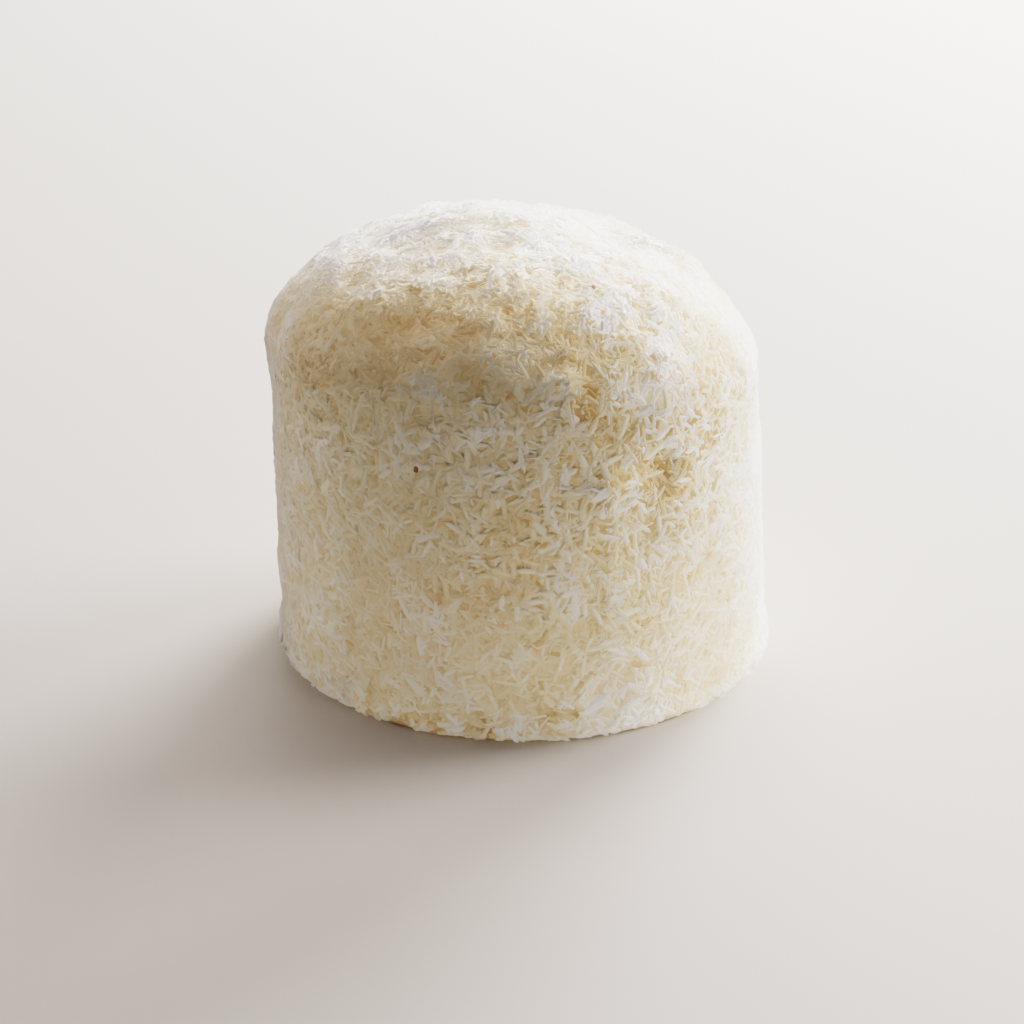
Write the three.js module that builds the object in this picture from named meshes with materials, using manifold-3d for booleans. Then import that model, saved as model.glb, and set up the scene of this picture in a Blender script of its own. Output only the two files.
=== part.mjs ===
// A small drum-shaped meringue cake with a domed top, coated all over in grated coconut.
// Units are millimetres, +Z is up and -Y is the front. The origin lies on the flat base, under the
// middle of the cake's outline. An azimuth is an angle from the front towards +X, the right.

import * as THREE from "three";
import { ParametricGeometry } from "three/addons/geometries/ParametricGeometry.js";
import { mergeVertices } from "three/addons/utils/BufferGeometryUtils.js";
import Module from "manifold-3d";

// Body, up to the ground of the coat that the shreds stand on
const HEIGHT = 74.2;
const BASE_RADIUS = 40.9;
const WALL_TOP_RADIUS = 40.4;
const BASE_ROUNDING = 1.3;
const DOME_RISE = 22.3;
const DOME_RISE_TILT = 3.2; // the dome starts this much lower on the right, and higher on the left
const DOME_EXPONENT = 1.85; // of the superellipse that the dome's profile follows
const FRONT_EXPONENT = 2.4; // the same at the front, whose shoulder is fuller
const FRONT_LIFT = 3; // the wall is this much higher at the front
const LEAN = 2.5; // how far the top stands to the left of the base

// Steps of the body's mesh: round the axis, then along the profile from the base's middle to the top
const AZIMUTH_STEPS = 48;
const BASE_STEPS = 1;
const EDGE_STEPS = 2;
const WALL_STEPS = 10;
const DOME_STEPS = 11;
const EDGE_START = BASE_STEPS;
const WALL_START = EDGE_START + EDGE_STEPS;
const DOME_START = WALL_START + WALL_STEPS;
const PROFILE_STEPS = DOME_START + DOME_STEPS;

// Slow swells of the coat, as plane waves from the longest to the shortest
const SWELL_WAVES = 14;
const LONGEST_SWELL = 34;
const SHORTEST_SWELL = 11;
const SWELL_HEIGHT = 0.1; // of the longest wave, with shorter ones lower in proportion
const DOME_SWELL = 2; // how many times higher the swells are on the dome
const SWELL_FADE = 8; // height above the base over which the swells grow to their full size
const SWELL_TURN = 4.5; // phase between one wave and the next, which settles where the swells fall

// Lumps and hollows that stand out of the swells, each by azimuth in degrees, height, rise and spread
const LUMPS = [
  { azimuth: 20, height: 43.5, rise: 1.0, spread: 3.2 }, // knob right of the front's middle
  { azimuth: 34, height: 44.5, rise: -1.3, spread: 3.6 }, // hollow beside the knob
  { azimuth: 29, height: 31.0, rise: -0.6, spread: 6.0 }, // shallow groove below the hollow
  { azimuth: 105, height: 71.0, rise: -2.4, spread: 7.0 }, // dip in the dome on the right
  { azimuth: 100, height: 65.0, rise: 1.5, spread: 4.5 }, // hump below the dip
  { azimuth: 88, height: 49.0, rise: -0.9, spread: 9.0 }, // flat of the wall on the right
  { azimuth: -80, height: 58.5, rise: 0.8, spread: 4.0 }, // bump on the left shoulder
];

// Coconut shreds: the largest ones of the coat, as straight slivers that narrow to one end
const SHRED_COUNT = 290;
const SHRED_LENGTH = { least: 3.4, most: 5.8 };
const SHRED_WIDTH = { least: 1.0, most: 1.5 };
const SHRED_THICKNESS = { least: 0.9, most: 1.3 };
const SHRED_POINT_SHARE = 0.45; // width at the narrow end, as a share of the width
const SHRED_CROWN_SHARE = 0.7; // width of the outer face, as a share of the inner one's
const SHRED_TILT = THREE.MathUtils.degToRad(12);
const SHRED_JITTER = 0.35; // sideways shift, as a share of the mean distance between shreds
const BASE_CLEARANCE = 0.4; // no shred comes closer to the surface that the cake stands on
const SHRED_SEED = 11;

const GOLDEN_SHARE = (Math.sqrt(5) - 1) / 2;
const GOLDEN_ANGLE = Math.PI * (3 - Math.sqrt(5));
const PROBE = 0.02; // small step, of azimuth or along the profile, that finds a tangent
const RING = 0.05; // step along the profile in which the coat's area is summed
const WELD = 0.001; // vertices closer than this are one

const wasm = await Module();
wasm.setup();

// Numbers from 0 to 1 that follow from a seed, by the mulberry32 rule
function seededRandom(seed) {
  let state = seed;
  return () => {
    state = (state + 0x6d2b79f5) | 0;
    let mixed = Math.imul(state ^ (state >>> 15), state | 1);
    mixed ^= mixed + Math.imul(mixed ^ (mixed >>> 7), mixed | 61);
    return ((mixed ^ (mixed >>> 14)) >>> 0) / 4294967296;
  };
}

// How much an azimuth belongs to the front: 1 there, and 0 from the sides to the back
function frontShare(azimuth) {
  return Math.max(Math.cos(azimuth), 0) ** 2;
}

function domeRise(azimuth) {
  return DOME_RISE + DOME_RISE_TILT * Math.sin(azimuth) - FRONT_LIFT * frontShare(azimuth);
}

function domeExponent(azimuth) {
  return THREE.MathUtils.lerp(DOME_EXPONENT, FRONT_EXPONENT, frontShare(azimuth));
}

// The bare body's radius, height and outward slope at a place along its profile, which runs in mesh
// steps over the base, the rounded edge, the wall and the dome.
function profile(azimuth, along) {
  const rise = domeRise(azimuth);
  const wallTop = HEIGHT - rise;
  if (along <= EDGE_START) {
    return { radius: ((BASE_RADIUS - BASE_ROUNDING) * along) / BASE_STEPS, height: 0, slope: [0, -1] };
  }
  if (along <= WALL_START) {
    const turn = ((along - EDGE_START) / EDGE_STEPS) * (Math.PI / 2);
    return {
      radius: BASE_RADIUS - BASE_ROUNDING * (1 - Math.sin(turn)),
      height: BASE_ROUNDING * (1 - Math.cos(turn)),
      slope: [Math.sin(turn), -Math.cos(turn)],
    };
  }
  if (along <= DOME_START) {
    const share = (along - WALL_START) / WALL_STEPS;
    return {
      radius: THREE.MathUtils.lerp(BASE_RADIUS, WALL_TOP_RADIUS, share),
      height: THREE.MathUtils.lerp(BASE_ROUNDING, wallTop, share),
      slope: [1, 0],
    };
  }
  const turn = Math.min((along - DOME_START) / DOME_STEPS, 1) * (Math.PI / 2);
  const across = Math.max(Math.cos(turn), 0);
  const up = Math.sin(turn);
  const power = 2 / domeExponent(azimuth);
  const outward = Math.pow(across, 2 - power) / WALL_TOP_RADIUS;
  const upward = Math.pow(up, 2 - power) / rise;
  const length = Math.hypot(outward, upward);
  return {
    radius: WALL_TOP_RADIUS * Math.pow(across, power),
    height: wallTop + rise * Math.pow(up, power),
    slope: [outward / length, upward / length],
  };
}

// Places a radius at an azimuth, on an axis that leans to the left as it rises
function place(azimuth, radius, height, target) {
  const axis = LEAN * (0.5 - height / HEIGHT);
  return target.set(axis + radius * Math.sin(azimuth), -radius * Math.cos(azimuth), height);
}

const swellWaves = Array.from({ length: SWELL_WAVES }, (_, i) => {
  const wavelength = LONGEST_SWELL * Math.pow(SHORTEST_SWELL / LONGEST_SWELL, i / (SWELL_WAVES - 1));
  const upright = 2 * ((i * GOLDEN_SHARE) % 1) - 1;
  const flat = Math.sqrt(1 - upright * upright);
  const heading = i * GOLDEN_ANGLE;
  return {
    vector: new THREE.Vector3(flat * Math.cos(heading), flat * Math.sin(heading), upright).multiplyScalar(
      (2 * Math.PI) / wavelength,
    ),
    phase: i * i + SWELL_TURN * (i + 1),
    height: (SWELL_HEIGHT * wavelength) / LONGEST_SWELL,
  };
});

// The middle of a lump is the bare body's point at its azimuth and height
const lumps = LUMPS.map((lump) => {
  const azimuth = THREE.MathUtils.degToRad(lump.azimuth);
  const rise = domeRise(azimuth);
  const exponent = domeExponent(azimuth);
  const up = Math.max((lump.height - (HEIGHT - rise)) / rise, 0);
  const radius = WALL_TOP_RADIUS * Math.pow(1 - Math.pow(up, exponent), 1 / exponent);
  return { ...lump, middle: place(azimuth, radius, lump.height, new THREE.Vector3()) };
});

// How far the coat stands off the bare body at a point of it
function relief(point, upward) {
  let height = 0;
  for (const wave of swellWaves) {
    height += wave.height * Math.sin(point.dot(wave.vector) + wave.phase);
  }
  height *= 1 + (DOME_SWELL - 1) * Math.max(upward, 0);
  for (const lump of lumps) {
    const distance = point.distanceTo(lump.middle) / lump.spread;
    height += lump.rise * Math.exp(-distance * distance);
  }
  return height * THREE.MathUtils.smoothstep(point.z, 0, SWELL_FADE);
}

// A point on the ground of the coat
function coatPoint(azimuth, along, target) {
  const { radius, height, slope } = profile(azimuth, along);
  place(azimuth, radius, height, target);
  const offset = relief(target, slope[1]);
  target.x += offset * slope[0] * Math.sin(azimuth);
  target.y -= offset * slope[0] * Math.cos(azimuth);
  target.z += offset * slope[1];
  return target;
}

// Outward, level and upward directions of the coat at a place
function coatFrame(azimuth, along) {
  const before = new THREE.Vector3();
  const after = new THREE.Vector3();
  coatPoint(azimuth - PROBE, along, before);
  const level = coatPoint(azimuth + PROBE, along, after).clone().sub(before).normalize();
  coatPoint(azimuth, along - PROBE, before);
  const climb = coatPoint(azimuth, along + PROBE, after).clone().sub(before).normalize();
  const outward = level.clone().cross(climb).normalize();
  return { outward, level, climb: outward.clone().cross(level) };
}

// A closed geometry as a solid, with its vertices shared and its collapsed triangles left out
function solidOf(geometry) {
  const bare = new THREE.BufferGeometry();
  bare.setAttribute("position", geometry.getAttribute("position"));
  bare.setIndex(geometry.getIndex());
  const merged = mergeVertices(bare, WELD);
  const corners = merged.getIndex().array;
  const kept = [];
  for (let i = 0; i < corners.length; i += 3) {
    const [a, b, c] = corners.slice(i, i + 3);
    if (a !== b && b !== c && c !== a) {
      kept.push(a, b, c);
    }
  }
  const mesh = new wasm.Mesh({
    numProp: 3,
    vertProperties: merged.getAttribute("position").array,
    triVerts: new Uint32Array(kept),
  });
  return new wasm.Manifold(mesh);
}

function geometryOf(solid) {
  const { vertProperties, triVerts } = solid.getMesh();
  const geometry = new THREE.BufferGeometry();
  geometry.setAttribute("position", new THREE.BufferAttribute(vertProperties, 3));
  geometry.setIndex(new THREE.BufferAttribute(triVerts, 1));
  geometry.computeVertexNormals();
  return geometry;
}

function bodyGeometry() {
  const surface = (u, v, target) => coatPoint(2 * Math.PI * u, PROFILE_STEPS * v, target);
  return new ParametricGeometry(surface, AZIMUTH_STEPS, PROFILE_STEPS);
}

// Places spread evenly over the coat: a golden spiral that climbs the profile in steps of equal area
function evenPlaces(count) {
  const rings = [];
  let area = 0;
  for (let along = EDGE_START; along < PROFILE_STEPS; along += RING) {
    const low = profile(Math.PI, along);
    const high = profile(Math.PI, along + RING);
    area += (low.radius + high.radius) * Math.hypot(high.radius - low.radius, high.height - low.height);
    rings.push({ along, area });
  }
  return Array.from({ length: count }, (_, i) => ({
    azimuth: i * GOLDEN_ANGLE,
    along: rings.find((ring) => ring.area >= (area * (i + 0.5)) / count).along,
    spacing: Math.sqrt((Math.PI * area) / count),
  }));
}

// A sliver of coconut that lies along X, with its outer face up and its narrow end at +X
function shredGeometry(length, width, thickness) {
  const geometry = new THREE.BoxGeometry(length, width, thickness);
  const corners = geometry.getAttribute("position");
  for (let i = 0; i < corners.count; i++) {
    const taper = corners.getX(i) > 0 ? SHRED_POINT_SHARE : 1;
    const crown = corners.getZ(i) > 0 ? SHRED_CROWN_SHARE : 1;
    corners.setY(i, corners.getY(i) * taper * crown);
  }
  return geometry;
}

// A shred set on the coat at a place, turned and tilted by chance, or null where it would reach too low
function shredSolid(spot, random) {
  const between = ({ least, most }) => THREE.MathUtils.lerp(least, most, random());
  const geometry = shredGeometry(between(SHRED_LENGTH), between(SHRED_WIDTH), between(SHRED_THICKNESS));
  const heading = random() * 2 * Math.PI;
  const tilt = (2 * random() - 1) * SHRED_TILT;
  const shift = (2 * random() - 1) * SHRED_JITTER * spot.spacing;
  const { outward, level, climb } = coatFrame(spot.azimuth, spot.along);
  const position = coatPoint(spot.azimuth, spot.along, new THREE.Vector3()).addScaledVector(level, shift);
  const lie = new THREE.Matrix4().makeBasis(level, climb, outward);
  geometry.rotateY(tilt).rotateZ(heading).applyMatrix4(lie).translate(...position.toArray());
  geometry.computeBoundingBox();
  return geometry.boundingBox.min.z < BASE_CLEARANCE ? null : solidOf(geometry);
}

function cakeSolid() {
  const random = seededRandom(SHRED_SEED);
  let solid = solidOf(bodyGeometry());
  for (const spot of evenPlaces(SHRED_COUNT)) {
    const shred = shredSolid(spot, random);
    if (shred) {
      solid = solid.add(shred);
    }
  }
  return solid;
}

const coconut = new THREE.MeshStandardMaterial({ color: 0xf3eee2, roughness: 0.8, metalness: 0 });
const cake = new THREE.Mesh(geometryOf(cakeSolid()), coconut);
cake.name = "cake";
cake.geometry.computeBoundingBox();
const middle = cake.geometry.boundingBox.getCenter(new THREE.Vector3());
cake.position.set(-middle.x, -middle.y, 0);

const coconutMeringueCake = new THREE.Group();
coconutMeringueCake.add(cake);

export default coconutMeringueCake;
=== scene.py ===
# Looks of a small meringue cake coated in grated coconut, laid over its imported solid.
# Sizes are in millimetres. Angles among the named values are in degrees unless a comment says otherwise,
# and in the functions they are in radians unless a name or comment says degrees. +Z is up, -Y is the front,
# and an azimuth turns from the front towards +X, the right.

import math

import bpy
import numpy as np
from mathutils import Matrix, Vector


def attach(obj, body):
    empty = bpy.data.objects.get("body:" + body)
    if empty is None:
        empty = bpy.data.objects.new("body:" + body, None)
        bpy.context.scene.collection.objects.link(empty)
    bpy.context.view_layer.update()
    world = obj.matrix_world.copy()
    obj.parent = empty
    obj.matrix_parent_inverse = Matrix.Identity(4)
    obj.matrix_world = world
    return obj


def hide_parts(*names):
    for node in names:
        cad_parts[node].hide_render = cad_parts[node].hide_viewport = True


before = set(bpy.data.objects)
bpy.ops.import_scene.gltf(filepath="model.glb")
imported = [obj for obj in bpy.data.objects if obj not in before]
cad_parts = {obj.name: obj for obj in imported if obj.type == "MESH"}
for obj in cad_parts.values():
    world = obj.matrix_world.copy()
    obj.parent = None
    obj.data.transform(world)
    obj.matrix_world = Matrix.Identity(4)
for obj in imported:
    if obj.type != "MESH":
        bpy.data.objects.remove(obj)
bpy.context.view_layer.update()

MM = 0.001

# Golden section, and the golden angle in radians, for even spreads
GOLDEN_SHARE = (math.sqrt(5) - 1) / 2
GOLDEN_ANGLE = math.pi * (3 - math.sqrt(5))

# Body, with the solid's own sizes
HEIGHT = 74.2
BASE_RADIUS = 40.9
WALL_TOP_RADIUS = 40.4
BASE_ROUNDING = 1.3
DOME_RISE = 22.3
DOME_RISE_TILT = 3.2
DOME_EXPONENT = 1.85
FRONT_EXPONENT = 2.4
FRONT_LIFT = 3
LEAN = 2.5

# Steps that the profile is measured in, and the height below which a point of the solid counts as its base
PROFILE_STEPS = 1200
BASE_TOLERANCE = 0.01

# Slow swells of the coat, as in the solid
SWELL_WAVES = 14
LONGEST_SWELL = 34
SHORTEST_SWELL = 11
SWELL_HEIGHT = 0.1
DOME_SWELL = 2
SWELL_FADE = 8
SWELL_TURN = 4.5

# Lumps and hollows, as in the solid: azimuth, height, rise and spread
LUMPS = (
    (20, 43.5, 1.0, 3.2),
    (34, 44.5, -1.3, 3.6),
    (29, 31.0, -0.6, 6.0),
    (105, 71.0, -2.4, 7.0),
    (100, 65.0, 1.5, 4.5),
    (88, 49.0, -0.9, 9.0),
    (-80, 58.5, 0.8, 4.0),
)

# Clumps that the shreds lie in: size, height and seed of each octave of rounded bumps with creases between.
# They fade in above the base, and stand higher on the dome by a share of their height.
CLUMPS = ((7.5, 0.55, 3), (3.6, 0.36, 4))
CLUMP_LEVEL = 0.42
CLUMP_FADE = 5
DOME_CLUMPS = 0.6

# Ground under the shreds, with a fine grain; both its lift and its grain fade in above the base
GROUND_LIFT = 0.18
GROUND_FADE = 2
GROUND_TURNS = 360
GROUND_ROWS = 180
GRAIN_SIZE = 2.0
GRAIN_HEIGHT = 0.15
GRAIN_SEED = 21

# Whole numbers that scramble a cell's place into its noise
CELL_FACTORS = (374761393, 668265263, 2147483647)
SEED_FACTOR = 974711
SCRAMBLE_FACTOR = 1274126177
SCRAMBLE_MASK = 0xFFFFFFFF

# The kinds of coconut. They lie between two heights, singly or in clusters of so many, or at places given by
# azimuth and height. Lift is the height of a shred's middle over the coat's ground. Tone rises with lift,
# from honey brown for the shreds that lie deepest, painted shade among the shreds over them, to white for
# those on top. The other pairs are limits too, and tilt is how far a shred usually rises from the coat.
KINDS = {
    "flakes": {
        "count": 7000,
        "heights": (0.3, 80.0),
        "length": (2.0, 4.6),
        "width": (0.9, 1.7),
        "thickness": (0.16, 0.28),
        "lift": (-0.14, 0.0),
        "tone": (0.05, 0.7),
        "tilt": 3,
        "seed": 11,
    },
    "shreds": {
        "count": 6600,
        "heights": (0.3, 80.0),
        "length": (2.6, 5.4),
        "width": (0.75, 1.35),
        "thickness": (0.2, 0.34),
        "lift": (-0.06, 0.1),
        "tone": (0.42, 1.05),
        "tilt": 6,
        "seed": 12,
    },
    "slivers": {
        "count": 7100,
        "heights": (0.3, 80.0),
        "length": (1.5, 3.6),
        "width": (0.5, 0.85),
        "thickness": (0.16, 0.28),
        "lift": (-0.04, 0.14),
        "tone": (0.4, 1.05),
        "tilt": 10,
        "seed": 13,
    },
    "tufts": {
        "count": 1260,
        "cluster": 7,
        "heights": (65.0, 80.0),
        "length": (1.2, 2.4),
        "width": (0.6, 1.1),
        "thickness": (0.3, 0.5),
        "lift": (0.05, 0.4),
        "tone": (1.1, 1.5),
        "tilt": 10,
        "seed": 15,
    },
    "threads": {
        "count": 6000,
        "heights": (16.0, 80.0),
        "length": (1.4, 3.2),
        "width": (0.28, 0.5),
        "thickness": (0.14, 0.24),
        "lift": (0.0, 0.2),
        "tone": (0.5, 1.05),
        "tilt": 6,
        "seed": 14,
    },
    "fringe": {
        "count": 1302,
        "cluster": 6,
        "heights": (0.3, 3.2),
        "length": (1.4, 3.4),
        "width": (0.45, 1.0),
        "thickness": (0.2, 0.36),
        "lift": (0.0, 0.9),
        "tone": (0.35, 1.5),
        "tilt": 24,
        "seed": 16,
    },
    "specks": {
        "places": ((-22, 46.5), (30, 70.3)),
        "length": (0.8, 1.2),
        "width": (0.7, 0.9),
        "thickness": (0.2, 0.3),
        "lift": (0.2, 0.3),
        "tone": (0.0, 0.5),
        "tilt": 3,
        "seed": 17,
    },
}

# Chance in where they lie: a share of the spiral's spacing, and the spread of a cluster. None lies closer
# than the gap to the middle of the top, and a shift sideways counts from the least radius there.
SPIRAL_CHANCE = 0.5
CLUSTER_SPREAD = 0.7
TOP_GAP = 0.2
LEAST_RADIUS = 1

# Places of a shred's rings along its half length, and limits of its share of the width at each
RING_STEPS = (-1.0, -0.7, 0.65, 1.0)
RING_WIDTHS = ((0.12, 0.3), (0.9, 1.05), (0.8, 1.0), (0.1, 0.25))

# A shred's section is a low lens of four corners: an edge, the ridge, an edge and the shallow underside. All
# but the ridge are thin. It rolls and twists by chance, in radians. Its ridge leans by a share of its width.
SHRED_SIDES = 4
# All corners but the ridge are painted in shade, yellower than the ridge, in a shred's tone
THIN_CORNERS = (1, 0, 1, 1)
ROLL = (-0.15, 0.15)
TWIST = (-0.1, 0.1)
RIDGE_LEAN = (-0.18, 0.18)
UNDERSIDE = 0.35

# Bends of a shred: its sideways bow and its sag as shares of its length, the waver of its rings as a share
# of its width, and the dip of its ends
BOW = 0.08
SAG = 0.03
WAVER = 0.1
END_DIP = 0.12

# Shreds tilt in full at the front and by a share elsewhere, and at most by so many usual tilts. What would
# come lower over the floor than the gap is bent up into it.
TILT_SHARE = 0.3
MOST_TILT = 2
FLOOR_GAP = 0.25

# Light passes through thin coconut and evens out the shading of its sides: a shred's normals hold this share
# of the coat's own direction, which keeps a share of the clumps' slopes, a larger one on the dome
SOFTNESS = 0.8
CLUMP_SHADE = 0.3
DOME_CLUMP_SHADE = 0.55

# How far the coat faces up where it counts as dome in full
DOME_FULL = 0.5

# Tone of a shred: how much yellower its ends and thin corners are, painted shade where they sink towards the
# ground, how far chance shifts it, the tone that contrast leaves as it is, and how far the deepest tones are
# raised
PAINTED_END_SHADE = 0.2
PAINTED_EDGE_SHADE = 0.3
TONE_CHANCE = 0.1
MIDDLE_TONE = 0.4
DEEPEST_TONE = 0.2

# Tone of the coat, painted light and shade: how much whiter its clumps are than their creases, a painted
# highlight on their tops and painted shade in the creases, what the dome adds to that, and how much whiter
# the top is, as painted light from above, from where it faces up by so much
CLUMP_LIGHT_AND_SHADE = 0.8
DOME_CLUMP_LIGHT_AND_SHADE = 0.55
TOP_PAINTED_LIGHT = 0.35
TOP_FROM = 0.88

# Contrast of the tones, which is painted light and shade: lower on the wall away from the light and on the
# brightly lit dome, and higher on the right shoulder, where the light from behind falls, with whiter shreds
# and darker gaps. The ground is paler where the contrast is low.
CALM = 0.3
CALM_FADE = 34
DOME_CALM = 0.4
LIT_SIDE_CONTRAST = 0.8
LIT_SIDE_AZIMUTH = 46
LIT_SIDE_SPREAD = 58
LIT_SIDE_FROM = 26
LIT_SIDE_FADE = 20
GROUND_CALM = 0.35

# Spots of the coat that are yellower or whiter: azimuth, height, shift of tone and spread. Many are painted
# light and shade: whiter where the light falls on the right side, the shoulders and the top of the front
# wall, and yellower in the hollow, on the left shoulder, at the middle of the front and at the foot of the
# base on the left. The others are yellower or whiter patches of the coat.
PAINTED_LIGHT_AND_SPOTS = (
    (33, 45.0, -0.5, 2.6),
    (18, 43.5, 0.4, 2.6),
    (30, 57.0, 0.4, 3.0),
    (18, 57.0, -0.35, 4.0),
    (-4, 71.5, -0.36, 12.0),
    (-40, 69.5, -0.26, 9.0),
    (-55, 58.0, -0.35, 9.0),
    (-1, 4.5, 0.3, 2.4),
    (4, 5.0, -0.45, 1.8),
    (8.5, 4.5, -0.4, 1.6),
    (12, 5.0, -0.4, 1.3),
    (15.5, 6.5, 0.45, 2.4),
    (24, 4.0, 0.3, 7.0),
    (-37, 1.2, -0.8, 1.4),
    (-30.5, 1.0, -0.75, 1.8),
    (-24, 1.5, -0.4, 2.4),
    (-18.5, 0.8, -0.6, 2.0),
    (-9, 1.4, -0.5, 2.2),
    (84, 12.0, 0.4, 14.0),
    (84, 36.0, 0.3, 13.0),
    (82, 57.0, 0.4, 11.0),
    (38, 56.5, 0.4, 4.5),
    (-5, 55.0, 0.22, 10.0),
    (-6, 34.0, -0.09, 13.0),
)

# Map of a shred, in shares of its cell: the strips of its sides, and its two ends stacked beside them
CELL_MARGIN = 0.02
STRIPS_ACROSS = 0.86
STRIPS_UP = 0.94
ENDS_ACROSS = (0.88, 0.95)
END_STARTS = (0.0, 0.48)
END_HEIGHT = 0.45

# Map of the ground, in shares of the whole: the coat, the ring round the top's middle, and the base's disc
COAT_MAP_HEIGHT = 0.74
TOP_MAP_RING = 0.735
TOP_MAP_MIDDLE = 0.742
BASE_MAP_RADIUS = 0.12
BASE_MAP_MIDDLE = (0.14, 0.875)

# Colours by tone, from the deepest to the palest. The pale end is the coconut's own white, and the honey
# browns towards the deep end are painted shade among the shreds. The ground's colours, seen in the gaps
# between shreds, are painted shade too.
COCONUT_AND_SHADE_COLOURS = (
    (0.0, (0.64, 0.41, 0.16)),
    (0.2, (0.76, 0.57, 0.29)),
    (0.44, (0.85, 0.71, 0.44)),
    (0.72, (0.93, 0.86, 0.68)),
    (1.0, (0.97, 0.95, 0.90)),
)
GAP_SHADE_COLOURS = (
    (0.0, (0.50, 0.27, 0.08)),
    (0.3, (0.60, 0.42, 0.19)),
    (0.5, (0.75, 0.58, 0.32)),
    (0.7, (0.87, 0.74, 0.49)),
)
SPECK_COLOURS = ((0.0, (0.26, 0.12, 0.045)), (1.0, (0.48, 0.27, 0.12)))
FLOOR_COLOURS = ((0.0, (0.57, 0.545, 0.505)), (1.0, (0.61, 0.585, 0.545)))

# Stage: its floor, what its lights have in common, and the white all round it
FLOOR_SIDE = 8000
LIGHT_DISTANCE = 900
LIGHT_TARGET = (0, 0, 35)
LIGHT_BEAM = 180
RIM_ELEVATION = 8
RIM_SIZE = 60
RIM_DISTANCE = 600
RIM_BEAM = 10
WORLD_STRENGTH = 0.008

# Camera, fitted to the photograph's outline of the cake
CAMERA_DISTANCE = 500
CAMERA_ELEVATION = 24.1
CAMERA_TARGET = (-1.4, 0.0, 22.3)
CAMERA_LENS = 103.7
SENSOR_WIDTH = 36.0
NEAREST_SEEN = 10
FARTHEST_SEEN = 50000


def within(limits, share):
    return limits[0] + (limits[1] - limits[0]) * share


def between(rng, limits, count):
    return within(limits, rng.random(count))


def smooth(value):
    share = np.clip(value, 0, 1)
    return share * share * (3 - 2 * share)


def unit(vectors):
    return vectors / np.linalg.norm(vectors, axis=-1, keepdims=True)


# Shape of the coat

def front_share(azimuth):
    """How much an azimuth belongs to the front: 1 there, and 0 from the sides to the back."""
    return np.maximum(np.cos(azimuth), 0) ** 2


def dome_share(upward):
    """How much the coat belongs to the dome: 0 on the wall, and 1 where it faces up far enough."""
    return smooth(upward / DOME_FULL)


def dome_rise(azimuth):
    return DOME_RISE + DOME_RISE_TILT * np.sin(azimuth) - FRONT_LIFT * front_share(azimuth)


def dome_exponent(azimuth):
    return within((DOME_EXPONENT, FRONT_EXPONENT), front_share(azimuth))


def bare(azimuth, along):
    """Radius and height of the bare body, and how far it faces outward and upward. Along runs from -1 to 0
    over the rounded edge of the base, to 1 up the wall and to 2 over the dome."""
    rise = dome_rise(azimuth)
    wall_top = HEIGHT - rise
    edge_turn = np.clip(along + 1, 0, 1) * math.pi / 2
    wall_share = np.clip(along, 0, 1)
    dome_turn = np.clip(along - 1, 0, 1) * math.pi / 2
    across = np.maximum(np.cos(dome_turn), 0)
    up = np.sin(dome_turn)
    power = 2 / dome_exponent(azimuth)
    on_edge = along < 0
    on_wall = along <= 1
    radius = np.select(
        [on_edge, on_wall],
        [
            BASE_RADIUS - BASE_ROUNDING * (1 - np.sin(edge_turn)),
            within((BASE_RADIUS, WALL_TOP_RADIUS), wall_share),
        ],
        WALL_TOP_RADIUS * across**power,
    )
    height = np.select(
        [on_edge, on_wall],
        [
            BASE_ROUNDING * (1 - np.cos(edge_turn)),
            within((BASE_ROUNDING, wall_top), wall_share),
        ],
        wall_top + rise * up**power,
    )
    outward = across ** (2 - power) / WALL_TOP_RADIUS
    upward = up ** (2 - power) / rise
    length = np.hypot(outward, upward)
    outward = np.select([on_edge, on_wall], [np.sin(edge_turn), 1.0], outward / length)
    upward = np.select([on_edge, on_wall], [-np.cos(edge_turn), 0.0], upward / length)
    return radius, height, outward, upward


def axis_shift(height):
    """How far right the middle of the leaning body lies at a height."""
    return LEAN * (0.5 - height / HEIGHT)


def place(azimuth, radius, height):
    return np.stack([axis_shift(height) + radius * np.sin(azimuth), -radius * np.cos(azimuth), height], -1)


def on_body(azimuth_degrees, height):
    """Points of the body at azimuths in degrees and heights."""
    azimuth = np.radians(azimuth_degrees)
    rise = dome_rise(azimuth)
    exponent = dome_exponent(azimuth)
    up = np.maximum((height - (HEIGHT - rise)) / rise, 0)
    radius = WALL_TOP_RADIUS * (1 - up**exponent) ** (1 / exponent)
    return place(azimuth, radius, np.asarray(height, float))


def swells(points, upward):
    total = np.zeros(points.shape[:-1])
    for i in range(SWELL_WAVES):
        wavelength = LONGEST_SWELL * (SHORTEST_SWELL / LONGEST_SWELL) ** (i / (SWELL_WAVES - 1))
        upright = 2 * ((i * GOLDEN_SHARE) % 1) - 1
        flat = math.sqrt(1 - upright * upright)
        heading = i * GOLDEN_ANGLE
        vector = np.array([flat * math.cos(heading), flat * math.sin(heading), upright])
        phase = i * i + SWELL_TURN * (i + 1)
        total += wavelength / LONGEST_SWELL * np.sin(points @ vector * (2 * math.pi / wavelength) + phase)
    return SWELL_HEIGHT * total * (1 + (DOME_SWELL - 1) * np.maximum(upward, 0))


def gathered(points, rows):
    """Sum of soft bumps: the azimuth and height of each one's middle, its amount there and its spread."""
    total = np.zeros(points.shape[:-1])
    for azimuth, height, amount, reach in rows:
        away = np.sum((points - on_body(azimuth, height)) ** 2, -1)
        total += amount * np.exp(-away / reach**2)
    return total


def lattice(cells, seed):
    """A fixed number from -1 to 1 for each whole-numbered cell."""
    mixed = cells @ np.array(CELL_FACTORS) + seed * SEED_FACTOR
    mixed = (mixed ^ (mixed >> 13)) & SCRAMBLE_MASK
    mixed = (mixed * SCRAMBLE_FACTOR) & SCRAMBLE_MASK
    mixed = mixed ^ (mixed >> 16)
    return mixed / (SCRAMBLE_MASK >> 1) - 1


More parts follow.
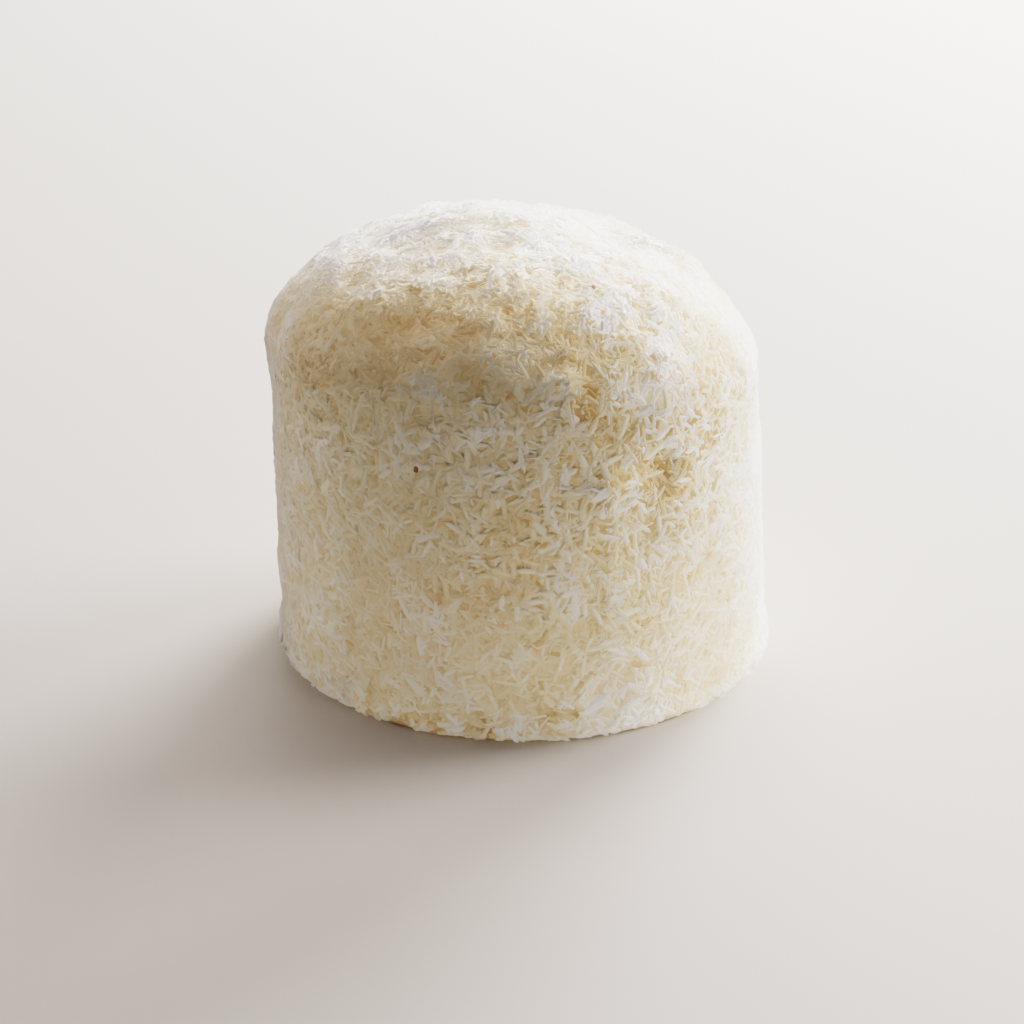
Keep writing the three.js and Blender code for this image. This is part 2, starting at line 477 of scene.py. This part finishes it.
def soft_noise(points, size, seed):
    """Smooth noise from -1 to 1, with bumps about as wide as size."""
    scaled = points / size
    corner = np.floor(scaled).astype(np.int64)
    share = smooth(scaled - corner)
    total = np.zeros(points.shape[:-1])
    for offset in np.ndindex(2, 2, 2):
        near = np.abs(1 - np.array(offset) - share)
        weight = near[..., 0] * near[..., 1] * near[..., 2]
        total += weight * lattice(corner + np.array(offset), seed)
    return total


def clumps(points):
    total = np.zeros(points.shape[:-1])
    for size, height, seed in CLUMPS:
        total += height * (np.abs(soft_noise(points, size, seed)) - CLUMP_LEVEL)
    return total


def coat(azimuth, along, lift=0.0, clump_share=1.0):
    """Points of the coat's ground, with its swells, lumps and a share of its clumps, raised by lift."""
    radius, height, outward, upward = bare(azimuth, along)
    points = place(azimuth, radius, height)
    relief = (swells(points, upward) + gathered(points, LUMPS)) * smooth(height / SWELL_FADE)
    clump_height = clump_share * smooth(height / CLUMP_FADE) * (1 + DOME_CLUMPS * smooth(upward))
    relief = relief + clumps(points) * clump_height + lift
    shift = np.stack([outward * np.sin(azimuth), -outward * np.cos(azimuth), upward], -1)
    return points + relief[..., None] * shift


def nearest(points):
    """Azimuth and place along the profile of the body's points nearest to points close to it."""
    lowest_along = -0.9
    x = points[..., 0] - axis_shift(points[..., 2])
    azimuth = np.arctan2(x, -points[..., 1])
    rise = dome_rise(azimuth)
    wall_top = HEIGHT - rise
    exponent = dome_exponent(azimuth)
    across = np.clip(np.hypot(x, points[..., 1]) / WALL_TOP_RADIUS, 0, 1) ** (exponent / 2)
    up = np.clip((points[..., 2] - wall_top) / rise, 0, 1) ** (exponent / 2)
    on_dome = 1 + np.arctan2(up, across) / (math.pi / 2)
    on_wall = (points[..., 2] - BASE_ROUNDING) / (wall_top - BASE_ROUNDING)
    return azimuth, np.where(points[..., 2] > wall_top, on_dome, np.clip(on_wall, lowest_along, 1))


def coat_axes(azimuth, along, clump_share=1.0):
    """Level, climbing and outward directions of the coat, from points a short step to each side."""
    step = 0.012
    level = unit(coat(azimuth + step, along, 0, clump_share) - coat(azimuth - step, along, 0, clump_share))
    above = coat(azimuth, np.minimum(along + step, 2), 0, clump_share)
    climb = above - coat(azimuth, along - step, 0, clump_share)
    outward = unit(np.cross(level, climb))
    return level, np.cross(outward, level), outward


def shading_direction(azimuth, along, upward):
    """Outward direction of the coat for shading, with only a share of its clumps."""
    return coat_axes(azimuth, along, within((CLUMP_SHADE, DOME_CLUMP_SHADE), dome_share(upward)))[2]


# Tones of the coat

def contrast(azimuth, height):
    """How strongly the tones differ, as painted light and shade: least on the wall away from the light, and
    most on the right shoulder, where the light falls.
    """
    turn = (azimuth - math.radians(LIT_SIDE_AZIMUTH) + math.pi) % (2 * math.pi) - math.pi
    lit_side = 1 - smooth(np.abs(turn) / math.radians(LIT_SIDE_SPREAD))
    calm = CALM * (1 - lit_side * smooth(height / CALM_FADE))
    return 1 - calm + LIT_SIDE_CONTRAST * lit_side * smooth((height - LIT_SIDE_FROM) / LIT_SIDE_FADE)


def shred_tones(own_tone, azimuth, along):
    """Tone at each corner of each ring: the shred's own, lowered at ends and thin corners as painted shade,
    and the coat's painted light and shade and its patches.
    """
    radius, height, _, upward = bare(azimuth, along)
    body = place(azimuth, radius, height)
    on_dome = dome_share(upward)
    ends = (np.array(RING_STEPS) ** 2)[None, :, None]
    # Painted shade: lower tone towards the ends and at the thin corners
    tone = own_tone[:, None, None] - PAINTED_END_SHADE * ends - PAINTED_EDGE_SHADE * np.array(THIN_CORNERS)
    painted_contrast = contrast(azimuth, height)
    own_share = painted_contrast * (1 - DOME_CALM * on_dome)
    tone = MIDDLE_TONE + (tone - MIDDLE_TONE) * own_share[:, None, None]
    # Painted light and shade of the coat: whiter clump tops and darker creases, the spots, and a whiter top
    light_and_patches = (CLUMP_LIGHT_AND_SHADE * painted_contrast + DOME_CLUMP_LIGHT_AND_SHADE * on_dome) * clumps(body)
    light_and_patches = light_and_patches + gathered(body, PAINTED_LIGHT_AND_SPOTS) + TOP_PAINTED_LIGHT * smooth((upward - TOP_FROM) / (1 - TOP_FROM))
    return within((DEEPEST_TONE, 1), tone + light_and_patches[:, None, None])


# Places on the coat: radius, height, way and area along the profile, as it is at the back
ALONG_STEPS = np.linspace(-1, 2, PROFILE_STEPS + 1)
STEP_RADIUS, STEP_HEIGHT = bare(np.full_like(ALONG_STEPS, math.pi), ALONG_STEPS)[:2]
STEP_LENGTH = np.hypot(np.diff(STEP_RADIUS), np.diff(STEP_HEIGHT))
STEP_WAY = np.concatenate([[0], np.cumsum(STEP_LENGTH)])
STEP_AREA = np.concatenate([[0], np.cumsum(math.pi * (STEP_RADIUS[1:] + STEP_RADIUS[:-1]) * STEP_LENGTH)])


def spread(count, rng, heights, cluster):
    """Azimuths and places along the profile of a golden spiral over the coat, shifted a little by chance.
    Each place of the spiral holds a cluster. What would lie below the lowest height turns back up."""
    places = count // cluster
    first, last = np.interp(heights, STEP_HEIGHT, STEP_AREA)
    area = first + (last - first) * (np.arange(places) + 0.5) / places
    way = np.interp(area, STEP_AREA, STEP_WAY)
    chance = SPIRAL_CHANCE * math.sqrt((last - first) / places)
    way = way + chance * rng.standard_normal(places)
    aside = chance * rng.standard_normal(places)
    turn = np.arange(places) * GOLDEN_ANGLE
    if cluster > 1:
        way, aside, turn = (np.repeat(values, cluster) for values in (way, aside, turn))
        way = way + CLUSTER_SPREAD * rng.standard_normal(count)
        aside = aside + CLUSTER_SPREAD * rng.standard_normal(count)
    lowest = np.interp(heights[0], STEP_HEIGHT, STEP_WAY)
    way = np.minimum(lowest + np.abs(way - lowest), STEP_WAY[-1] - TOP_GAP)
    along = np.interp(way, STEP_WAY, ALONG_STEPS)
    radius = np.maximum(np.interp(way, STEP_WAY, STEP_RADIUS), LEAST_RADIUS)
    return (turn + aside / radius) % (2 * math.pi), along


def kind_places(kind, rng):
    if "places" in kind:
        return nearest(on_body(*np.array(kind["places"], float).T))
    return spread(kind["count"], rng, kind["heights"], kind.get("cluster", 1))


# Meshes

# The shapes above stand round the body's own middle, and the solid's base shows where that lies in the frame
node_points = np.array([vertex.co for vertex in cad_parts["cake"].data.vertices]) / MM
base_points = node_points[node_points[:, 2] < BASE_TOLERANCE]
base_middle = (base_points.min(0) + base_points.max(0)) / 2
SHIFT = np.array([base_middle[0] - axis_shift(0), base_middle[1], 0.0])


def add_piece(name, points, faces, uv, material, tone, normals):
    mesh = bpy.data.meshes.new(name)
    mesh.from_pydata(((points + SHIFT) * MM).tolist(), [], faces)
    mesh.attributes.new("tone", "FLOAT", "POINT").data.foreach_set("value", tone.astype(np.float32).ravel())
    mesh.uv_layers.new(name="OFBake").data.foreach_set("uv", uv.astype(np.float32).ravel())
    mesh.shade_smooth()
    mesh.normals_split_custom_set_from_vertices(normals.reshape(-1, 3).tolist())
    mesh.materials.append(material)
    piece = bpy.data.objects.new(name, mesh)
    bpy.context.scene.collection.objects.link(piece)
    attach(piece, "root")
    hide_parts("cake")
    return piece


def cell_corners(count):
    """Lower corners and size of a square grid of map cells."""
    columns = math.ceil(math.sqrt(count))
    order = np.arange(count)
    return np.stack([order % columns, order // columns], -1) / columns, 1 / columns


def shred_map(count, rings):
    """Map places of every face corner: each shred fills a cell."""
    segments = rings - 1
    strips = []
    for segment in range(segments):
        for side in range(SHRED_SIDES):
            left = STRIPS_ACROSS * segment / segments
            right = STRIPS_ACROSS * (segment + 1) / segments
            low = STRIPS_UP * side / SHRED_SIDES
            high = STRIPS_UP * (side + 1) / SHRED_SIDES
            strips.append([(left, low), (left, high), (right, high), (right, low)])
    left, right = ENDS_ACROSS
    for low in END_STARTS:
        high = low + END_HEIGHT
        strips.append([(left, low), (right, low), (right, high), (left, high)])
    corners, size = cell_corners(count)
    return corners[:, None, None, :] + size * within((CELL_MARGIN, 1), np.array(strips))[None]


def shred_faces(count, rings):
    faces = []
    for segment in range(rings - 1):
        for side in range(SHRED_SIDES):
            here = segment * SHRED_SIDES
            there = here + SHRED_SIDES
            beside = (side + 1) % SHRED_SIDES
            faces.append((here + side, here + beside, there + beside, there + side))
    faces.append(tuple(reversed(range(SHRED_SIDES))))
    faces.append(tuple((rings - 1) * SHRED_SIDES + side for side in range(SHRED_SIDES)))
    starts = np.arange(count) * rings * SHRED_SIDES
    return starts[:, None, None] + np.array(faces)[None]


def softened(facing, outward):
    return unit((1 - SOFTNESS) * unit(facing) + SOFTNESS * outward)


def above_floor(points):
    """Bends what would reach below the base up to just over it."""
    low = points[..., 2]
    points[..., 2] = np.where(low < FLOOR_GAP, FLOOR_GAP * np.exp(np.minimum(low / FLOOR_GAP - 1, 0)), low)
    return points


def add_shreds(name, kind, material):
    """One joined mesh of a kind of coconut, each shred draped over the coat as a few rings."""
    rng = np.random.default_rng(kind["seed"])
    azimuth, along = kind_places(kind, rng)
    count, rings = len(azimuth), len(RING_STEPS)
    level, climb, outward = coat_axes(azimuth, along)
    _, height, _, upward = bare(azimuth, along)
    length = between(rng, kind["length"], count)
    width = between(rng, kind["width"], count)
    thickness = between(rng, kind["thickness"], count)
    layer = rng.random(count)
    lift = GROUND_LIFT + within(kind["lift"], layer)

    # Directions: near the floor a shred lies level, so that it doesn't reach below the base
    tilt_share = within((TILT_SHARE, 1), front_share(azimuth))
    tilt = np.radians(kind["tilt"]) * tilt_share * np.clip(rng.standard_normal(count), -MOST_TILT, MOST_TILT)
    heading = 2 * math.pi * rng.random(count)
    steepest = np.clip(height / (length / 2), 0, 1)
    steepness = np.clip(np.sin(heading), -steepest, steepest)
    levelness = np.sign(np.cos(heading)) * np.sqrt(1 - steepness**2)
    flat = levelness[:, None] * level + steepness[:, None] * climb
    axis = np.cos(tilt)[:, None] * flat + np.sin(tilt)[:, None] * outward
    side = np.cross(outward, flat)
    crown = np.cross(axis, side)

    # Middles of the rings, laid on the coat
    steps = np.array(RING_STEPS)
    reach = length[:, None] / 2 * steps
    arch = 0.5 - steps**2
    bow = BOW * length * rng.standard_normal(count)
    aside = bow[:, None] * arch + WAVER * width[:, None] * rng.standard_normal((count, rings))
    sag = END_DIP + SAG * length * rng.standard_normal(count)
    laid = coat(azimuth, along)[:, None, :] + flat[:, None, :] * reach[..., None]
    laid = laid + side[:, None, :] * aside[..., None]
    rise = np.sin(tilt)[:, None] * reach + sag[:, None] * arch
    centre = coat(*nearest(laid), lift[:, None] + rise)

    # Corners of the rings
    taper = np.stack([between(rng, limits, count) for limits in RING_WIDTHS], 1)
    turn = between(rng, ROLL, count)[:, None] + between(rng, TWIST, count)[:, None] * steps[None]
    across = np.cos(turn)[..., None] * side[:, None] + np.sin(turn)[..., None] * crown[:, None]
    over = np.cross(axis[:, None, :], across)
    half_width = (width[:, None] / 2 * taper)[..., None]
    ridge = (thickness[:, None] * taper)[..., None]
    lean = (width[:, None] * between(rng, RIDGE_LEAN, count)[:, None] * taper)[..., None]
    points = np.stack(
        [
            centre + half_width * across,
            centre + ridge * over + lean * across,
            centre - half_width * across,
            centre - UNDERSIDE * ridge * over,
        ],
        2,
    )
    upright = shading_direction(azimuth, along, upward)[:, None]
    normals = np.stack([softened(facing, upright) for facing in (across, over, -across, -over)], 2)
    # A shred's tone rises with its layer, as its lift does: painted shade on the shreds that lie deepest
    own_tone = within(kind["tone"], layer) + TONE_CHANCE * rng.standard_normal(count)
    return add_piece(
        name,
        above_floor(points).reshape(-1, 3),
        shred_faces(count, rings).reshape(-1, 4).tolist(),
        shred_map(count, rings),
        material,
        shred_tones(own_tone, azimuth, along),
        normals,
    )


def ground_map(row, column, turns, ring, after):
    """Map places of every face corner of the ground: its coat, the ring round the top's middle, its base."""
    across = ring / GROUND_TURNS
    ahead = across + 1 / GROUND_TURNS
    low, high = row / GROUND_ROWS, (row + 1) / GROUND_ROWS
    left, right = across[column], ahead[column]
    corners = ((left, low), (right, low), (right, high), (left, high))
    coat_map = np.stack([np.stack(corner, -1) for corner in corners], 2) * (1.0, COAT_MAP_HEIGHT)
    ring_height = np.full(GROUND_TURNS, TOP_MAP_RING)
    middle_height = np.full(GROUND_TURNS, TOP_MAP_MIDDLE)
    corners = ((across, ring_height), (ahead, ring_height), ((across + ahead) / 2, middle_height))
    top_map = np.stack([np.stack(corner, -1) for corner in corners], 1)
    disc = np.stack([np.sin(turns), np.cos(turns)], -1) * BASE_MAP_RADIUS + BASE_MAP_MIDDLE
    base_map = np.stack([disc[after], disc[ring], np.full((GROUND_TURNS, 2), BASE_MAP_MIDDLE)], 1)
    return np.concatenate([part.reshape(-1, 2) for part in (coat_map, top_map, base_map)])


def add_ground(material):
    """The closed core that the shreds lie on: the grainy coat, and the flat base under it."""
    way = np.linspace(0, STEP_WAY[-1], GROUND_ROWS + 1)[:-1]
    ring = np.arange(GROUND_TURNS)
    turns = ring / GROUND_TURNS * 2 * math.pi
    azimuth, along = np.meshgrid(turns, np.interp(way, STEP_WAY, ALONG_STEPS))
    points = coat(azimuth, along)
    grain = GRAIN_HEIGHT * soft_noise(points, GRAIN_SIZE, GRAIN_SEED)
    points = coat(azimuth, along, (grain + GROUND_LIFT) * smooth(points[..., 2] / GROUND_FADE))
    top = coat(np.zeros(1), np.full(1, 2.0), np.full(1, GROUND_LIFT))
    bottom = place(np.zeros(1), np.zeros(1), np.zeros(1))
    vertices = np.concatenate([points.reshape(-1, 3), top, bottom])

    row, column = np.meshgrid(np.arange(GROUND_ROWS - 1), ring, indexing="ij")
    beside = (column + 1) % GROUND_TURNS
    here, above = row * GROUND_TURNS, (row + 1) * GROUND_TURNS
    quads = np.stack([here + column, here + beside, above + beside, above + column], -1).reshape(-1, 4)
    after = (ring + 1) % GROUND_TURNS
    last = (GROUND_ROWS - 1) * GROUND_TURNS
    top_corner = GROUND_ROWS * GROUND_TURNS
    crown = np.stack([last + ring, last + after, np.full(GROUND_TURNS, top_corner)], -1)
    base = np.stack([after, ring, np.full(GROUND_TURNS, top_corner + 1)], -1)

    shading = shading_direction(azimuth, along, bare(azimuth, along)[3]).reshape(-1, 3)
    # Tone of the ground: the painted light and shade of the spots, and paler gaps where the painted contrast
    # is low
    tone = gathered(points, PAINTED_LIGHT_AND_SPOTS) + GROUND_CALM * (1 - contrast(azimuth, points[..., 2]))
    return add_piece(
        "shaded_coat_ground",
        vertices,
        quads.tolist() + crown.tolist() + base.tolist(),
        ground_map(row, column, turns, ring, after),
        material,
        np.concatenate([tone.ravel(), [0, 0]]),
        np.concatenate([shading, [(0, 0, 1), (0, 0, -1)]]),
    )


# Materials

def new_material(name, roughness):
    material = bpy.data.materials.new(name)
    material.use_nodes = True
    tree = material.node_tree
    shader = tree.nodes["Principled BSDF"]
    shader.inputs["Roughness"].default_value = roughness
    return material, tree, shader


def ramp_of(tree, shader, value, stops):
    """Colours the shader by a value, through a ramp of stops."""
    ramp = tree.nodes.new("ShaderNodeValToRGB")
    while len(ramp.color_ramp.elements) < len(stops):
        ramp.color_ramp.elements.new(1.0)
    for element, (position, colour) in zip(ramp.color_ramp.elements, stops):
        element.position = position
        element.color = (*colour, 1.0)
    tree.links.new(value, ramp.inputs["Fac"])
    tree.links.new(ramp.outputs["Color"], shader.inputs["Base Color"])


def noise_of(tree, scale, detail):
    coordinates = tree.nodes.new("ShaderNodeTexCoord")
    noise = tree.nodes.new("ShaderNodeTexNoise")
    noise.inputs["Scale"].default_value = scale
    noise.inputs["Detail"].default_value = detail
    tree.links.new(coordinates.outputs["Object"], noise.inputs["Vector"])
    return noise.outputs["Fac"]


def bump_of(tree, shader, noise, distance, strength):
    bump = tree.nodes.new("ShaderNodeBump")
    bump.inputs["Distance"].default_value = distance
    bump.inputs["Strength"].default_value = strength
    tree.links.new(noise, bump.inputs["Height"])
    tree.links.new(bump.outputs["Normal"], shader.inputs["Normal"])


def toned_ramp(tree, shader, noise, sway, middle, stops):
    """Colours the shader by a piece's tone, shifted to a middle and swayed by a noise."""
    tone = tree.nodes.new("ShaderNodeAttribute")
    tone.attribute_name = "tone"
    share = tree.nodes.new("ShaderNodeMath")
    share.operation = "MULTIPLY_ADD"
    share.inputs[1].default_value = sway
    share.inputs[2].default_value = middle - sway / 2
    tree.links.new(noise, share.inputs[0])
    total = tree.nodes.new("ShaderNodeMath")
    total.operation = "ADD"
    tree.links.new(tone.outputs["Fac"], total.inputs[0])
    tree.links.new(share.outputs[0], total.inputs[1])
    ramp_of(tree, shader, total.outputs[0], stops)


def coconut_material():
    material, tree, shader = new_material("coconut", roughness=0.6)
    noise = noise_of(tree, scale=700, detail=2)
    toned_ramp(tree, shader, noise, sway=0.3, middle=0.0, stops=COCONUT_AND_SHADE_COLOURS)
    shader.inputs["Specular IOR Level"].default_value = 0.2
    shader.inputs["Sheen Weight"].default_value = 0.8
    shader.inputs["Sheen Roughness"].default_value = 0.5
    bump_of(tree, shader, noise_of(tree, scale=3500, detail=3), distance=0.06 * MM, strength=0.5)
    return material


def speck_material():
    material, tree, shader = new_material("brown_skin", roughness=0.6)
    noise = noise_of(tree, scale=1500, detail=2)
    toned_ramp(tree, shader, noise, sway=0.6, middle=0.0, stops=SPECK_COLOURS)
    return material


# Material of the ground in the gaps between shreds, coloured in painted shade
def shaded_ground_material():
    material, tree, shader = new_material("shaded_coat_ground", roughness=0.7)
    noise = noise_of(tree, scale=800, detail=3)
    toned_ramp(tree, shader, noise, sway=1.0, middle=0.5, stops=GAP_SHADE_COLOURS)
    return material


def floor_material():
    material, tree, shader = new_material("floor", roughness=0.75)
    ramp_of(tree, shader, noise_of(tree, scale=6, detail=3), FLOOR_COLOURS)
    return material


# Pieces. Light passes through thin coconut, so only the ground under it casts a shadow.

coconut = coconut_material()
brown_skin = speck_material()
add_ground(shaded_ground_material())
for kind_name, kind in KINDS.items():
    piece = add_shreds(kind_name, kind, brown_skin if kind_name == "specks" else coconut)
    piece.visible_shadow = False

# Stage: floor, lights and camera

half = FLOOR_SIDE * MM / 2
floor_corners = [(-half, -half, 0), (half, -half, 0), (half, half, 0), (-half, half, 0)]
floor_mesh = bpy.data.meshes.new("floor")
floor_mesh.from_pydata(floor_corners, [], [(0, 1, 2, 3)])
floor_mesh.materials.append(floor_material())
floor = bpy.data.objects.new("floor", floor_mesh)
bpy.context.scene.collection.objects.link(floor)


def direction(azimuth_degrees, elevation_degrees):
    """Unit vector towards an azimuth and an elevation."""
    turn, rise = math.radians(azimuth_degrees), math.radians(elevation_degrees)
    return Vector((math.sin(turn) * math.cos(rise), -math.cos(turn) * math.cos(rise), math.sin(rise)))


def aim(thing, target, azimuth, elevation, distance):
    """Puts a light or camera at a distance from a target, by angles in degrees, and turns it to face that."""
    back = direction(azimuth, elevation)
    thing.location = back * distance * MM + Vector(target) * MM
    thing.rotation_euler = (-back).to_track_quat("-Z", "Y").to_euler()
    bpy.context.scene.collection.objects.link(thing)


def add_light(name, azimuth, elevation, watts, colour, size, distance, target, beam):
    """A round light that faces a target, with a beam as wide as an angle in degrees."""
    data = bpy.data.lights.new(name, "AREA")
    data.shape = "DISK"
    data.size = size * MM
    data.energy = watts
    data.color = colour
    data.spread = math.radians(beam)
    light = bpy.data.objects.new(name, data)
    light.visible_camera = False
    aim(light, target, azimuth, elevation, distance)


# Large soft lights, and two small faint ones with a narrow beam to the edge of the base
for name, azimuth, elevation, size, watts, colour in (
    ("key", 152, 20, 500, 17.0, (1.0, 0.97, 0.97)),
    ("back", 180, 16, 500, 2.8, (1.0, 0.99, 0.99)),
    ("top", 180, 75, 600, 4.2, (1.0, 0.86, 0.81)),
    ("side", 112, 16, 500, 12.6, (1.0, 0.95, 0.945)),
    ("left", -112, 9, 250, 1.6, (1.0, 0.955, 0.955)),
    ("fill", 0, 45, 700, 0.2, (1.0, 0.95, 0.9)),
):
    add_light(name, azimuth, elevation, watts, colour, size, LIGHT_DISTANCE, LIGHT_TARGET, LIGHT_BEAM)
for name, azimuth, watts, colour, target in (
    ("rim_right", 50, 0.0054, (1.0, 0.92, 0.88), (20, -36, 0)),
    ("rim_left", -60, 0.0027, (1.0, 0.93, 0.88), (-20, -36, 0)),
):
    add_light(name, azimuth, RIM_ELEVATION, watts, colour, RIM_SIZE, RIM_DISTANCE, target, RIM_BEAM)

world = bpy.data.worlds.new("room")
world.use_nodes = True
background = world.node_tree.nodes["Background"]
background.inputs["Color"].default_value = (1.0, 1.0, 1.0, 1.0)
background.inputs["Strength"].default_value = WORLD_STRENGTH
bpy.context.scene.world = world
bpy.context.scene.view_settings.view_transform = "Filmic"
bpy.context.scene.view_settings.look = "High Contrast"

camera_data = bpy.data.cameras.new("camera")
camera_data.lens = CAMERA_LENS
camera_data.sensor_width = SENSOR_WIDTH
camera_data.clip_start = NEAREST_SEEN * MM
camera_data.clip_end = FARTHEST_SEEN * MM
camera = bpy.data.objects.new("camera", camera_data)
aim(camera, CAMERA_TARGET, 0, CAMERA_ELEVATION, CAMERA_DISTANCE)
bpy.context.scene.camera = camera
